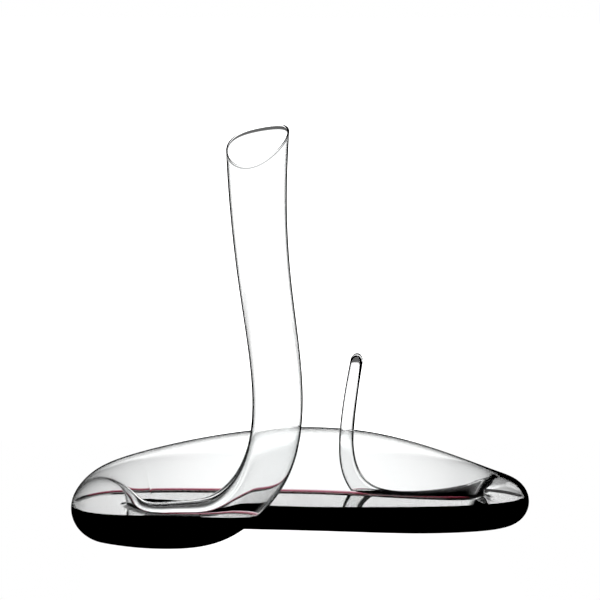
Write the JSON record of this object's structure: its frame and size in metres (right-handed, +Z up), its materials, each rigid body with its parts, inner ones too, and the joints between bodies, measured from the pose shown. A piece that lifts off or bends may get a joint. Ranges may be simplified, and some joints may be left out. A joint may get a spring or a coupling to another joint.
{
  "type": "wine decanter",
  "caption": "Snake-shaped blown glass wine decanter: upright neck with a slanted mouth, an S-folded body lying flat, a closed tail finger, and red wine inside.",
  "frame": {"origin": "on the table plane, under the middle of the decanter's bounding box", "axes": "+X along the belly towards the right bend, +Y from the neck towards the tail, +Z up"},
  "size_m": [0.4133, 0.1992, 0.3634],
  "materials": {
    "clear_glass": "clear, colourless, fire-polished",
    "red_wine": "still liquid, nearly black in depth, dark red where thin"
  },
  "bodies": {
    "root": {"rim": "clear_glass", "upper_neck": "clear_glass", "lower_neck": "clear_glass", "neck_bend": "clear_glass", "front_arm": "clear_glass", "left_bend": "clear_glass", "belly_left": "clear_glass", "belly_right": "clear_glass", "right_bend": "clear_glass", "tail_arm": "clear_glass", "tail_finger": "clear_glass", "wine": "red_wine"}
  },
  "joints": []
}
